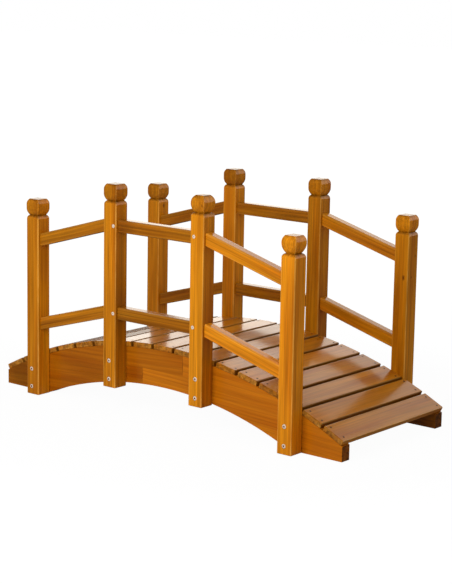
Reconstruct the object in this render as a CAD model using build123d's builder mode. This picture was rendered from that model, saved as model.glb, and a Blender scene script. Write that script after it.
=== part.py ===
from build123d import *
from math import atan2, cos, degrees, sin
import os

# Small arched garden bridge in varnished softwood.
# Two bow-shaped side beams carry seventeen crosswise deck boards. Four square
# posts are bolted to the outer face of each beam, and two rails run between
# neighbouring posts. X runs along the bridge, Y across it, Z up, and the
# origin is on the ground under the middle of the deck. Sizes are in millimetres.

# Posts
post_section = 47.0
post_edge_radius = 2.5
end_post_x = 470.0
middle_post_x = 160.5
end_post_height = 581.0
middle_post_height = 654.5
middle_post_foot = 74.0

# Post heads, cut by hand and so not all alike
head_height = 47.0
head_width = 47.5
shoulder_height = 11.5
blunt_head = {"neck": 34.0, "top": 35.0, "full_from": 0.42, "full_to": 0.68}
tapered_head = {"neck": 31.0, "top": 28.0, "full_from": 0.50, "full_to": 0.58}
round_head = {"neck": 29.5, "top": 34.0, "full_from": 0.56, "full_to": 0.62}

# Side beams
beam_spread = 476.0
beam_thickness = 33.0
arch_radius = 1144.0
arch_crown = 92.0

# Deck
deck_radius = 1351.0
deck_crown = 210.5
board_count = 17
board_pitch = 77.2
board_gap = 7.0
board_thickness = 15.0
board_edge_radius = 2.0

# Rails
rail_height = 36.0
rail_thickness = 32.0
rail_edge_radius = 4.5
upper_rail_drop = 117.5
lower_rail_drop = 366.5
middle_rail_rise = 1.0

# Sizes that follow from the ones above
half_section = post_section / 2
post_y = beam_spread / 2 + half_section
beam_y = beam_spread / 2 - beam_thickness / 2
board_angle = board_pitch / deck_radius
board_width = board_pitch - board_gap
deck_centre = deck_crown - deck_radius
seat_radius = deck_radius - board_thickness
seat_corner_radius = seat_radius / cos(board_angle / 2)
post_places = [-end_post_x, -middle_post_x, middle_post_x, end_post_x]
post_tops = [end_post_height, middle_post_height, middle_post_height, end_post_height]
post_feet = [0.0, middle_post_foot, middle_post_foot, 0.0]
sides = {"near": -1, "far": 1}
near_heads = [blunt_head, blunt_head, tapered_head, round_head]
far_heads = [blunt_head, blunt_head, blunt_head, blunt_head]
heads = {"near": near_heads, "far": far_heads}
rail_drops = {"lower": lower_rail_drop, "upper": upper_rail_drop}

pieces = []


def keep(piece, name):
    """Label a finished piece and put it on the list of pieces."""
    piece.label = name
    pieces.append(piece)


def body_outline(foot, top, head):
    """Draw the right half of a post's body, from its foot to its neck."""
    neck_height = top - head_height
    neck = (head["neck"] / 2, neck_height)
    shoulder = (half_section, neck_height - shoulder_height)
    with BuildLine() as outline:
        Line((0, foot), (half_section, foot))
        Line((half_section, foot), shoulder)
        TangentArc(shoulder, neck, tangent=(0, 1))
        Line(neck, (0, neck_height))
        Line((0, neck_height), (0, foot))
    return outline.line


def head_outline(top, head):
    """Draw the right half of a post's head, from its neck to its flat top."""
    neck_height = top - head_height
    neck = (head["neck"] / 2, neck_height)
    low_full = (head_width / 2, neck_height + head_height * head["full_from"])
    high_full = (head_width / 2, neck_height + head_height * head["full_to"])
    with BuildLine() as outline:
        TangentArc(low_full, neck, tangent=(0, -1))
        Line(low_full, high_full)
        TangentArc(high_full, (head["top"] / 2, top), tangent=(0, 1))
        Line((head["top"] / 2, top), (0, top))
        Line((0, top), (0, neck_height))
        Line((0, neck_height), neck)
    return outline.line


def cut_on_four_faces(outline):
    """Cut one outline along X and along Y, which leaves sharp corners between the faces."""
    with BuildPart() as piece:
        for plane, mode in ((Plane.XZ, Mode.ADD), (Plane.YZ, Mode.INTERSECT)):
            with BuildSketch(plane):
                with BuildLine():
                    add(outline)
                make_face()
                mirror(about=Plane.YZ)
            extrude(amount=post_section, both=True, mode=mode)
    return piece.part


def make_post(x, y, foot, top, head):
    """Make a post with eased corners on its body and a shaped head."""
    body = cut_on_four_faces(body_outline(foot, top, head))
    knob = cut_on_four_faces(head_outline(top, head))
    with BuildPart() as post:
        with BuildSketch(Plane.XY.offset(foot)):
            RectangleRounded(post_section, post_section, post_edge_radius)
        extrude(amount=top - head_height - foot)
        add(body, mode=Mode.INTERSECT)
        add(knob)
    return post.part.moved(Location((x, y, 0)))


def seat_corner(index):
    """Give the point where the flat seats of two neighbouring boards meet."""
    angle = (index - board_count / 2) * board_angle
    return (seat_corner_radius * sin(angle), deck_centre + seat_corner_radius * cos(angle))


def make_beam(side):
    """Make a side beam with flat seats for the boards and an arched underside."""
    seats = [seat_corner(index) for index in range(board_count + 1)]
    first, last = seats[0], seats[-1]
    foot_x = (arch_radius**2 - (arch_radius - arch_crown) ** 2) ** 0.5
    with BuildPart() as beam:
        with BuildSketch(Plane.XZ.offset(-side * beam_y)):
            with BuildLine():
                Polyline(*seats)
                Line(last, (last[0], 0))
                Line((last[0], 0), (foot_x, 0))
                ThreePointArc((foot_x, 0), (0, arch_crown), (-foot_x, 0))
                Line((-foot_x, 0), (first[0], 0))
                Line((first[0], 0), first)
            make_face()
        extrude(amount=beam_thickness / 2, both=True)
    return beam.part


def make_board(index):
    """Make a deck board lying on its seat, with its upper edges eased."""
    angle = (index - (board_count - 1) / 2) * board_angle
    place = Plane(
        origin=(deck_radius * sin(angle), 0, deck_centre + deck_radius * cos(angle)),
        x_dir=(cos(angle), 0, -sin(angle)),
        z_dir=(sin(angle), 0, cos(angle)),
    )
    with BuildPart() as board:
        with BuildSketch(place):
            Rectangle(board_width, beam_spread)
        extrude(amount=-board_thickness)
        top_edges = board.faces().sort_by(Axis(place.origin, place.z_dir))[-1].edges()
        fillet(top_edges, board_edge_radius)
    return board.part


def make_rail(start_x, start_z, end_x, end_z, side):
    """Make a rail between two posts, cut upright at both ends."""
    slope = atan2(end_z - start_z, end_x - start_x)
    half_cut = rail_height / cos(slope) / 2
    with BuildPart() as rail:
        with BuildSketch(Plane.XZ.offset(-side * post_y)):
            with BuildLine():
                Polyline(
                    (start_x, start_z - half_cut),
                    (end_x, end_z - half_cut),
                    (end_x, end_z + half_cut),
                    (start_x, start_z + half_cut),
                    close=True,
                )
            make_face()
        extrude(amount=rail_thickness / 2, both=True)
        long_edges = rail.edges().sort_by(SortBy.LENGTH)[-4:]
        fillet(long_edges, rail_edge_radius)
    return rail.part


def rail_ends(level):
    """List the end heights of the three rails of one level, from left to right."""
    low = end_post_height - rail_drops[level]
    high = middle_post_height - rail_drops[level]
    middle = high + middle_rail_rise
    return [(low, high), (middle, middle), (high, low)]


# Beams, posts and rails of both sides
for side_name, side in sides.items():
    keep(make_beam(side), f"side_beam_{side_name}")
    for number in range(4):
        foot, top, head = post_feet[number], post_tops[number], heads[side_name][number]
        post = make_post(post_places[number], side * post_y, foot, top, head)
        keep(post, f"post_{side_name}_{number + 1}")
    for level in rail_drops:
        for bay, (start_z, end_z) in enumerate(rail_ends(level)):
            start_x = post_places[bay] + half_section
            end_x = post_places[bay + 1] - half_section
            rail = make_rail(start_x, start_z, end_x, end_z, side)
            keep(rail, f"rail_{side_name}_{level}_{bay + 1}")

# Deck boards, numbered from the left end
for index in range(board_count):
    keep(make_board(index), f"deck_board_{index + 1:02d}")

# One file for each piece
os.makedirs("parts", exist_ok=True)
for piece in pieces:
    export_step(piece, f"parts/{piece.label}.step")

end_slope = degrees((board_count - 1) / 2 * board_angle)
print(f"{len(pieces)} pieces, length {2 * seat_corner(board_count)[0]:.0f} mm, end slope {end_slope:.1f} degrees")
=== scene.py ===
"""A small arched garden bridge in varnished softwood: its timber, fastenings, studio and camera.

Lengths are in metres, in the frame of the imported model: X along the bridge, Y across it with
the viewer on the minus side, Z up, and the ground at zero.
"""

import logging
import random
from collections.abc import Iterator, Sequence
from dataclasses import dataclass
from enum import Enum
from math import asin, atan2, cos, pi, radians, sin, sqrt, tan

import bmesh
import bpy
from bmesh.types import BMesh, BMVert
from bpy.types import Material, Mesh, MeshPolygon, Node, NodeSocket, NodeTree, Object
from mathutils import Matrix, Vector


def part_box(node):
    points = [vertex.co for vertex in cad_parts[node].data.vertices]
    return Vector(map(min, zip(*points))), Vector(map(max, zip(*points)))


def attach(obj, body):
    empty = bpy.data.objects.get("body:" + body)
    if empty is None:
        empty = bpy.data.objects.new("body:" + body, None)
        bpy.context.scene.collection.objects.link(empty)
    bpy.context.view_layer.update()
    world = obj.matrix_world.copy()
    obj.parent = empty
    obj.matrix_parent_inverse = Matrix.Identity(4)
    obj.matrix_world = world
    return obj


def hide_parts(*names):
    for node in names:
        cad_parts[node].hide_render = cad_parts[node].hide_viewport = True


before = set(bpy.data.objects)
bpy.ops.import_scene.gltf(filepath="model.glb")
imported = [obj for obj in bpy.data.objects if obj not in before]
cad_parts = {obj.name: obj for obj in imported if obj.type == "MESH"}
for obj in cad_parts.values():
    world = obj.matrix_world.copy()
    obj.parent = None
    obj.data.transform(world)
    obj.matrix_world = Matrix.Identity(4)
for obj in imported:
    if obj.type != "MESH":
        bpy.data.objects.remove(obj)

LOG = logging.getLogger("garden_bridge")
BODY = "root"
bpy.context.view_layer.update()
Pair = tuple[float, float]
Triple = tuple[float, float, float]
Colour = Triple
Stops = tuple[Pair, ...]

FLAT_ANGLE = radians(38)
EASED_ANGLE = radians(20)
HEART_DISTANCE = (0.035, 0.085)
LOG_SHIFT = (1.0, 60.0)
ACROSS_FROM = 0.25
ACROSS_SPAN = 0.6
HEAD_END_GRAIN = 0.3
LOT_STEP = 101.0
WHITE = (1.0, 1.0, 1.0, 1.0)


class Side(Enum):
    """The two long sides of the bridge, with the sign of their Y."""

    NEAR = -1
    FAR = 1

    @property
    def word(self) -> str:
        """Give the side's word in node names."""
        return self.name.lower()


class Level(Enum):
    """The two heights at which rails run."""

    LOWER = "lower"
    UPPER = "upper"


@dataclass(frozen=True)
class HeadCut:
    """How one post head is cut. Where it is full is told in shares of its height."""

    neck: float
    top: float
    full_from: float
    full_to: float


class Head(Enum):
    """The head shapes that the posts have, cut by hand and so not all alike."""

    BLUNT = HeadCut(0.0340, 0.0350, 0.42, 0.68)
    TAPERED = HeadCut(0.0310, 0.0280, 0.50, 0.58)
    ROUND = HeadCut(0.0295, 0.0340, 0.56, 0.62)


class NodeSheet:
    """Adds and links the nodes of one node tree."""

    def __init__(self, tree: NodeTree) -> None:
        """Start on an empty tree.

        Args:
            tree: The node tree that is filled.
        """
        self.tree = tree
        tree.nodes.clear()

    def add(self, kind: str, inputs: dict | None = None, **settings: object) -> Node:
        """Add one node.

        Args:
            kind: The node's type name.
            inputs: Values or output sockets for its input sockets, by name or number.
            settings: Attributes of the node itself.

        Returns:
            The new node.
        """
        node = self.tree.nodes.new(kind)
        for key, value in settings.items():
            setattr(node, key, value)
        for key, value in (inputs or {}).items():
            self.feed(node.inputs[key], value)
        return node

    def feed(self, socket: NodeSocket, value: object) -> None:
        """Link an output socket to an input, or set the input's own value.

        Args:
            socket: The input.
            value: The output socket or the value.
        """
        if isinstance(value, NodeSocket):
            self.tree.links.new(value, socket)
        else:
            socket.default_value = value

    def maths(
        self, operation: str, first: object, second: object = 0.0, third: object = 0.0
    ) -> NodeSocket:
        """Work out one number from up to three, and return its socket."""
        inputs = {0: first, 1: second, 2: third}
        return self.add("ShaderNodeMath", inputs, operation=operation).outputs[0]

    def vector(self, operation: str, first: object, second: object) -> NodeSocket:
        """Work out one vector from two, and return its socket."""
        name = "ShaderNodeVectorMath"
        return self.add(name, {0: first, 1: second}, operation=operation).outputs[0]

    def length(self, value: object) -> NodeSocket:
        """Measure a vector, and return the length's socket."""
        return self.add("ShaderNodeVectorMath", {0: value}, operation="LENGTH").outputs["Value"]

    def attribute(self, name: str, output: str = "Fac") -> NodeSocket:
        """Read one of the mesh's own attributes, and return its socket."""
        return self.add("ShaderNodeAttribute", attribute_name=name).outputs[output]

    def span(self, value: object, ends: Pair, start: object, stop: object) -> NodeSocket:
        """Carry a number over from one range to another, and return its socket."""
        inputs = {0: value, 1: ends[0], 2: ends[1], 3: start, 4: stop}
        return self.add("ShaderNodeMapRange", inputs).outputs[0]

    def noise(self, place: object, scale: Triple, detail: float = 2.0) -> NodeSocket:
        """Give soft noise about one half.

        Args:
            place: The socket of the place.
            scale: Ripples in a metre along each axis.
            detail: How much finer noise is laid over it.

        Returns:
            The noise's socket.
        """
        inputs = {"Vector": self.vector("MULTIPLY", place, scale), "Scale": 1.0, "Detail": detail}
        return self.add("ShaderNodeTexNoise", inputs).outputs[0]

    def curve(self, value: object, stops: Stops) -> NodeSocket:
        """Bend a number by a ramp of stops.

        Args:
            value: The number's socket.
            stops: Pairs of place and height, both from 0 to 1.

        Returns:
            The bent number's socket.
        """
        ramp = self.add("ShaderNodeValToRGB", {0: value})
        elements = ramp.color_ramp.elements
        while len(elements) < len(stops):
            elements.new(1.0)
        for element, (place, height) in zip(elements, stops):
            element.position = place
            element.color = (height, height, height, 1.0)
        return ramp.outputs[0]

    def blend(self, share: object, first: object, second: object, kind: str = "MIX") -> NodeSocket:
        """Mix two colours.

        Args:
            share: The second colour's share, from 0 to 1.
            first: The first colour, or its socket.
            second: The second colour, or its socket.
            kind: The way in which the second is laid over the first.

        Returns:
            The mix's socket.
        """
        mix = self.add("ShaderNodeMix", data_type="RGBA", blend_type=kind)
        for number, value in ((0, share), (6, first), (7, second)):
            self.feed(mix.inputs[number], (*value, 1.0) if isinstance(value, tuple) else value)
        return mix.outputs[2]


def new_material(name: str) -> tuple[Material, NodeSheet]:
    """Make a material.

    Args:
        name: The material's name.

    Returns:
        The material and its empty sheet of nodes.
    """
    material = bpy.data.materials.new(name)
    material.use_nodes = True
    return material, NodeSheet(material.node_tree)


def skin(mesh: BMesh, rows: Sequence[Sequence[BMVert]]) -> None:
    """Skin a row of rings and close both ends.

    Args:
        mesh: The mesh that the rings are in.
        rows: Rings with the same number of points, in order.
    """
    for low, high in zip(rows, rows[1:]):
        for index in range(len(low)):
            after = (index + 1) % len(low)
            mesh.faces.new((low[index], low[after], high[after], high[index]))
    mesh.faces.new(list(reversed(rows[0])))
    mesh.faces.new(rows[-1])


@dataclass(frozen=True)
class Knot:
    """One dark spot that shows on the timber.

    Attributes:
        place: Its middle.
        size: Its half sizes along X, Y and Z.
        strength: How dark it is, from 0 to 1.
        colour: Its colour, which is laid over the timber's.
        kind: The way in which it is laid over.
        core: Where it begins to fade, as a share of its size.
        rim: Where it ends, as a share of its size.
    """

    place: Triple
    size: Triple
    strength: float = 0.9
    colour: Colour = (0.10, 0.018, 0.0020)
    kind: str = "MIX"
    core: float = 0.44
    rim: float = 1.32


@dataclass(frozen=True)
class Cloud(Knot):
    """A soft patch where the timber is darker; the ones that are painted shade say so where they are
    listed.
    """

    strength: float = 1.0
    colour: Colour = (0.50, 0.42, 0.30)
    kind: str = "MULTIPLY"
    core: float = 0.60
    rim: float = 1.70


@dataclass(frozen=True)
class WoodFinish:
    """Honey-stained softwood under gloss varnish, coloured by its own year rings."""

    name: str
    pale: Colour = (0.80, 0.285, 0.0070)
    deep: Colour = (0.47, 0.130, 0.0015)
    shade: Colour = (0.50, 0.125, 0.0010)
    # Colour of the pale eased edges: scuffed stain and painted highlight.
    worn_colour: Colour = (1.0, 0.52, 0.1000)
    ring_gap: float = 0.0042
    ring_strength: float = 0.24
    end_strength: float = 0.85
    end_shade: float = 0.42
    ring_wander: float = 0.016
    patch_strength: float = 0.72
    streak_strength: float = 0.26
    fibre_strength: float = 0.20
    worn_strength: float = 0.60
    roughness: float = 0.30
    varnish: float = 0.80
    varnish_roughness: float = 0.09
    relief: float = 0.00022
    relief_strength: float = 0.6
    ring_relief: float = 0.35
    specular: float = 0.12
    uneven: float = 0.16
    bare_tone: float = 0.45
    coated_tone: float = 0.60
    ring_twist: float = 0.010
    blotch_strength: float = 0.55
    fibre_scale: Triple = (9.0, 620.0, 620.0)
    uneven_scale: Triple = (5.0, 30.0, 30.0)
    patch_scale: Triple = (2.4, 30.0, 30.0)
    rubbed_scale: Triple = (16.0, 40.0, 40.0)
    streak_scale: Triple = (3.0, 150.0, 150.0)
    blotch_scale: Triple = (110.0, 110.0, 110.0)
    wander_scale: Triple = (2.2, 9.0, 9.0)
    ragged_scale: Triple = (300.0, 300.0, 300.0)
    ragged: float = 0.5
    patch_stops: Stops = ((0.38, 0.0), (0.66, 1.0))
    rubbed_stops: Stops = ((0.34, 0.35), (0.62, 1.0))
    blotch_stops: Stops = ((0.40, 0.0), (0.62, 1.0))
    ring_stops: Stops = ((0.0, 0.10), (0.40, 0.20), (0.80, 1.0), (0.98, 0.10))
    marks: tuple[Knot, ...] = ()

    def material(self) -> Material:
        """Build the finish as a material that reads the timber's own place in its log.

        Returns:
            The material.
        """
        material, sheet = new_material(self.name)
        grain = sheet.attribute("grain", "Vector")
        end = sheet.attribute("endgrain")
        rings = self.rings(sheet, grain)
        fibre = sheet.noise(grain, self.fibre_scale, 3.0)
        colour = self.stain(sheet, grain, rings, fibre, end)
        colour = self.with_marks(sheet, colour)
        height = sheet.maths("MULTIPLY_ADD", rings, self.ring_relief, fibre)
        relief = {"Height": height, "Distance": self.relief, "Strength": self.relief_strength}
        bump = sheet.add("ShaderNodeBump", relief)
        uneven = sheet.noise(grain, self.uneven_scale)
        rough = sheet.maths("MULTIPLY_ADD", uneven, self.uneven, self.roughness - self.uneven / 2)
        coat = sheet.curve(sheet.attribute("tone"), ((self.bare_tone, 0.0), (self.coated_tone, 1.0)))
        coat = sheet.maths("MULTIPLY", coat, self.varnish)
        shader = sheet.add(
            "ShaderNodeBsdfPrincipled",
            {
                "Base Color": colour,
                "Roughness": rough,
                "Coat Weight": coat,
                "Coat Roughness": self.varnish_roughness,
                "Specular IOR Level": self.specular,
                "Normal": bump.outputs[0],
            },
        )
        sheet.add("ShaderNodeOutputMaterial", {"Surface": shader.outputs[0]})
        return material

    def stain(
        self,
        sheet: NodeSheet,
        grain: NodeSocket,
        rings: NodeSocket,
        fibre: NodeSocket,
        end: NodeSocket,
    ) -> NodeSocket:
        """Colour the timber by rings, patches, streaks, end grain and tone, with painted light and
        shade on some sides, and pale its eased edges as scuffed stain and painted highlight.

        Args:
            sheet: The material's nodes.
            grain: The socket of the place in the log.
            rings: The socket of the year rings.
            fibre: The socket of the fine fibres.
            end: The socket that is 1 where the fibres are cut across.

        Returns:
            The colour's socket.
        """
        gain = self.end_strength - self.ring_strength
        strength = sheet.maths("MULTIPLY_ADD", end, gain, self.ring_strength)
        colour = sheet.blend(sheet.maths("MULTIPLY", rings, strength), self.pale, self.deep)
        patch = sheet.curve(sheet.noise(grain, self.patch_scale, 3.0), self.patch_stops)
        colour = sheet.blend(sheet.maths("MULTIPLY", patch, self.patch_strength), colour, self.shade)
        # The pale edges are partly scuffed stain and partly a painted highlight of the varnished
        # corners.
        wear_and_highlight_patches = sheet.curve(sheet.noise(grain, self.rubbed_scale), self.rubbed_stops)
        worn = sheet.maths("MULTIPLY", sheet.attribute("worn"), wear_and_highlight_patches)
        worn = sheet.maths("MULTIPLY", worn, self.worn_strength)
        colour = sheet.blend(worn, colour, self.worn_colour)
        streak = sheet.noise(grain, self.streak_scale)
        shade = sheet.maths("MULTIPLY_ADD", end, -self.end_shade, 1.0)
        level = sheet.maths("MULTIPLY", sheet.attribute("tone"), shade)
        blotch = sheet.curve(sheet.noise(grain, self.blotch_scale, 3.0), self.blotch_stops)
        blotch = sheet.maths("MULTIPLY", sheet.maths("MULTIPLY", blotch, end), -self.blotch_strength)
        level = sheet.maths("MULTIPLY_ADD", level, blotch, level)
        for lines, depth in ((streak, self.streak_strength), (fibre, self.fibre_strength)):
            shade = sheet.maths("MULTIPLY_ADD", lines, 4 * depth, 1.0 - 2 * depth)
            level = sheet.maths("MULTIPLY", level, shade)
        return sheet.blend(1.0, colour, level, "MULTIPLY")

    def rings(self, sheet: NodeSheet, grain: NodeSocket) -> NodeSocket:
        """Draw year rings about the log's heart.

        Args:
            sheet: The material's nodes.
            grain: The socket of the place in the log.

        Returns:
            A socket that is 1 in the dark late wood and 0 in the pale early wood.
        """
        parts = sheet.add("ShaderNodeSeparateXYZ", {0: grain}).outputs
        radius = sheet.length(sheet.vector("MULTIPLY", grain, (0.0, 1.0, 1.0)))
        wander = sheet.noise(grain, self.wander_scale)
        radius = sheet.maths("MULTIPLY_ADD", wander, self.ring_wander, radius)
        radius = sheet.maths("MULTIPLY_ADD", parts["X"], self.ring_twist, radius)
        turn = sheet.maths("FRACT", sheet.maths("DIVIDE", radius, self.ring_gap))
        return sheet.curve(turn, self.ring_stops)

    def with_marks(self, sheet: NodeSheet, colour: NodeSocket) -> NodeSocket:
        """Lay the finish's knots and clouds over a colour.

        Args:
            sheet: The material's nodes.
            colour: The colour's socket.

        Returns:
            The new colour's socket.
        """
        place = sheet.add("ShaderNodeTexCoord").outputs["Object"]
        ragged = sheet.noise(place, self.ragged_scale)
        for mark in self.marks:
            off = sheet.vector("DIVIDE", sheet.vector("SUBTRACT", place, mark.place), mark.size)
            far = sheet.maths("MULTIPLY_ADD", ragged, self.ragged, sheet.length(off))
            # A ramp ends at 1 and a rim may lie beyond it, so all distances are halved.
            stops = ((mark.core / 2, mark.strength), (mark.rim / 2, 0.0))
            share = sheet.curve(sheet.maths("MULTIPLY", far, 0.5), stops)
            colour = sheet.blend(share, colour, mark.colour, mark.kind)
        return colour


@dataclass(frozen=True)
class MetalFinish:
    """Plated or bare steel of the fastenings."""

    name: str
    colour: Colour
    roughness: float
    metallic: float
    # Colour of the sockets: painted shade, warmed by a reflection of the wood.
    inner: Colour = (0.30, 0.110, 0.035)
    blotch_scale: Triple = (420.0, 420.0, 420.0)
    blotch_stops: Stops = ((0.35, 0.0), (0.7, 1.0))
    dulling: float = 0.75
    uneven: float = 0.2

    def material(self) -> Material:
        """Build the finish as a material with faint blotches in its plating, and painted shade in the
        sockets of the heads.

        Returns:
            The material.
        """
        material, sheet = new_material(self.name)
        place = sheet.add("ShaderNodeTexCoord").outputs["Object"]
        blotch = sheet.noise(place, self.blotch_scale, 3.0)
        dull = tuple(channel * self.dulling for channel in self.colour)
        colour = sheet.blend(sheet.curve(blotch, self.blotch_stops), self.colour, dull)
        # Painted shade, warmed by a reflection of the wood, where the sockets are recessed.
        colour = sheet.blend(sheet.attribute("inner"), colour, self.inner)
        rough = sheet.maths("MULTIPLY_ADD", blotch, self.uneven, self.roughness - self.uneven / 2)
        inputs = {"Base Color": colour, "Roughness": rough, "Metallic": self.metallic}
        shader = sheet.add("ShaderNodeBsdfPrincipled", inputs)
        sheet.add("ShaderNodeOutputMaterial", {"Surface": shader.outputs[0]})
        return material


@dataclass(frozen=True)
class Grain:
    """Where a stick of timber stood in its log, so that the rings run right through it."""

    centre: Vector
    along: Vector
    up: Vector
    shift: Vector

    @classmethod
    def sawn(cls, centre: Vector, along: Vector, up: Vector, draw: random.Random) -> "Grain":
        """Saw a stick from a random log.

        Args:
            centre: The stick's middle.
            along: The direction of its fibres.
            up: Another direction, not along the fibres.
            draw: The source of random numbers.

        Returns:
            The grain of the stick.
        """
        heart = draw.uniform(*HEART_DISTANCE)
        turn = draw.uniform(0, 2 * pi)
        shift = Vector((draw.uniform(*LOG_SHIFT), heart * cos(turn), heart * sin(turn)))
        return cls(centre, along.normalized(), up.normalized(), shift)

    def place(self, point: Vector) -> Vector:
        """Give a point's place in the log.

        Args:
            point: The point, in the bridge's frame.

        Returns:
            Its place in the log, with the fibres along X.
        """
        off = point - self.centre
        side = self.up.cross(self.along).normalized()
        up = self.along.cross(side)
        return Vector((off.dot(self.along), off.dot(side), off.dot(up))) + self.shift

    def cut_across(self, normal: Vector) -> float:
        """Tell how far a face cuts across the fibres, from 0 to 1."""
        return min(max((abs(normal.dot(self.along)) - ACROSS_FROM) / ACROSS_SPAN, 0.0), 1.0)


@dataclass(frozen=True)
class Site:
    """A place for one fastening, and the direction that its head faces."""

    place: Vector
    facing: Vector


@dataclass(frozen=True)
class Bore:
    """A round recess that a fastening's head sits in."""

    radius: float
    depth: float
    facets: int = 24
    narrowing: float = 0.94

    def cut(self, mesh: BMesh, site: Site) -> None:
        """Add the recess to the mesh that is cut away.

        Args:
            mesh: The mesh that is cut away.
            site: Where the recess is.
        """
        turn = site.facing.to_track_quat("Z", "Y").to_matrix().to_4x4()
        place = Matrix.Translation(site.place) @ turn
        bmesh.ops.create_cone(
            mesh,
            cap_ends=True,
            segments=self.facets,
            radius1=self.radius * self.narrowing,
            radius2=self.radius,
            depth=2 * self.depth,
            matrix=place,
        )


@dataclass(frozen=True)
class Tone:
    """How pale a stick is on its faces, where 1 is the finish's own colour.

    Attributes:
        body: The tone of most faces.
        right: What it is multiplied by on faces that look along X. On the posts this is partly their
            own tone and partly painted light; on the deck boards it is painted shade in the gaps.
        high: What it is multiplied by above the neck.
        high_right: What it is multiplied by there on faces that look along X, as painted light on the
            sides of the post heads.
        neck: The neck's height.
        turn: How far a face must look along X to count as one.
    """

    body: float
    right: float = 1.0
    high: float = 1.0
    high_right: float = 1.0
    neck: float = 10.0
    turn: float = 0.7

    def at(self, face: MeshPolygon) -> float:
        """Give the tone of one face.

        Args:
            face: The face.

        Returns:
            Its tone.
        """
        sideways = abs(face.normal.x) > self.turn
        if face.center.z > self.neck:
            return self.body * (self.high_right if sideways else self.high)
        return self.body * (self.right if sideways else 1.0)


class Stick:
    """A timber mesh in the making, which carries grain, tone, and pale edges of scuffing and painted
    highlight.
    """

    def __init__(self, grain: Grain, tone: Tone) -> None:
        """Start an empty mesh.

        Args:
            grain: The stick's place in its log.
            tone: How pale the stick is.
        """
        self.grain = grain
        self.tone = tone
        self.mesh = bmesh.new()
        self.worn_layer = self.mesh.verts.layers.float.new("worn")

    def ring(self, points: Sequence[tuple[Vector, float]]) -> list[BMVert]:
        """Add one closed ring.

        Args:
            points: Its points, each with its share of edge scuffing and painted highlight.

        Returns:
            The ring's vertices.
        """
        made = []
        for point, worn in points:
            vert = self.mesh.verts.new(point)
            vert[self.worn_layer] = worn
            made.append(vert)
        return made

    def loft(self, rings: Sequence[Sequence[tuple[Vector, float]]]) -> None:
        """Skin a row of rings of the same number of points, and close both ends."""
        skin(self.mesh, [self.ring(points) for points in rings])

    def slab(self, outline: Sequence[Pair], y: float, thickness: float, edge: float) -> None:
        """Stand an outline up as a slab, with its edges eased.

        Args:
            outline: The points of the outline, as X and Z.
            y: The middle of the slab's thickness.
            thickness: The slab's thickness along Y.
            edge: The width of the eased edges, which carry scuffing and a painted highlight.
        """
        front = [self.mesh.verts.new((x, y - thickness / 2, z)) for x, z in outline]
        back = [self.mesh.verts.new((x, y + thickness / 2, z)) for x, z in outline]
        self.mesh.faces.new(front)
        self.mesh.faces.new(list(reversed(back)))
        for index in range(len(outline)):
            after = (index + 1) % len(outline)
            self.mesh.faces.new((front[after], front[index], back[index], back[after]))
        sharp = [item for item in self.mesh.edges if item.calc_face_angle(0.0) > EASED_ANGLE]
        made = bmesh.ops.bevel(
            self.mesh,
            geom=sharp,
            offset=edge,
            segments=2,
            profile=0.5,
            affect="EDGES",
            clamp_overlap=True,
        )
        self.mesh.verts.layers.float.remove(self.worn_layer)
        worn = self.mesh.faces.layers.float.new("worn")
        for face in made["faces"]:
            face[worn] = 1.0

    def finish(
        self, name: str, material: Material, recesses: Sequence[tuple[Bore, Site]] = ()
    ) -> Object:
        """Turn the mesh into an object, with its recesses cut and its grain laid in.

        Args:
            name: The object's name.
            material: Its finish.
            recesses: The shapes and places of its recesses.

        Returns:
            The new object.
        """
        bmesh.ops.recalc_face_normals(self.mesh, faces=self.mesh.faces)
        data = bpy.data.meshes.new(name)
        self.mesh.to_mesh(data)
        self.mesh.free()
        data.materials.append(material)
        if recesses:
            data = bored(data, recesses)
        data.shade_smooth()
        marks = data.attributes
        marks.new("grain", "FLOAT_VECTOR", "POINT")
        for mark in ("tone", "endgrain"):
            marks.new(mark, "FLOAT", "FACE")
        for vert in data.vertices:
            marks["grain"].data[vert.index].vector = self.grain.place(vert.co)
        for face in data.polygons:
            marks["tone"].data[face.index].value = self.tone.at(face)
            bare = HEAD_END_GRAIN if face.center.z > self.tone.neck else 0.0
            marks["endgrain"].data[face.index].value = max(self.grain.cut_across(face.normal), bare)
        return place_object(name, data)


def bored(data: Mesh, recesses: Sequence[tuple[Bore, Site]]) -> Mesh:
    """Cut round recesses into a mesh.

    Args:
        data: The mesh.
        recesses: The shape and place of each recess.

    Returns:
        The cut mesh.
    """
    cut = bmesh.new()
    for bore, site in recesses:
        bore.cut(cut, site)
    cutter = bpy.data.objects.new("cutter", bpy.data.meshes.new("cutter"))
    cut.to_mesh(cutter.data)
    cut.free()
    blank = bpy.data.objects.new("blank", data)
    for item in (cutter, blank):
        bpy.context.collection.objects.link(item)
    modifier = blank.modifiers.new("bore", "BOOLEAN")
    modifier.object = cutter
    modifier.operation = "DIFFERENCE"
    modifier.solver = "EXACT"
    graph = bpy.context.evaluated_depsgraph_get()
    result = bpy.data.meshes.new_from_object(blank.evaluated_get(graph))
    for item in (cutter, blank):
        bpy.data.objects.remove(item)
    return result


def place_object(name: str, data: Mesh) -> Object:
    """Put a mesh in the scene with flat faces kept flat beside eased edges.

    Args:
        name: The object's name.
        data: Its mesh.

    Returns:
        The new object.
    """
    data.set_sharp_from_angle(angle=FLAT_ANGLE)
    item = bpy.data.objects.new(name, data)
    bpy.context.collection.objects.link(item)
    smooth = item.modifiers.new("flat_faces", "WEIGHTED_NORMAL")
    smooth.keep_sharp = True
    return item


def hand_over(piece: Object, slot: str | None, *nodes: str) -> None:
    """Hang a finished piece on the bridge's body.

    Args:
        piece: The finished piece.
        slot: The name of a material slot; it is not used.
        nodes: The nodes that it stands for, if any.
    """
    if nodes:
        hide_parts(*nodes)
    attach(piece, BODY)
    LOG.info("%s: %d vertices", piece.name, len(piece.data.vertices))


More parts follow.
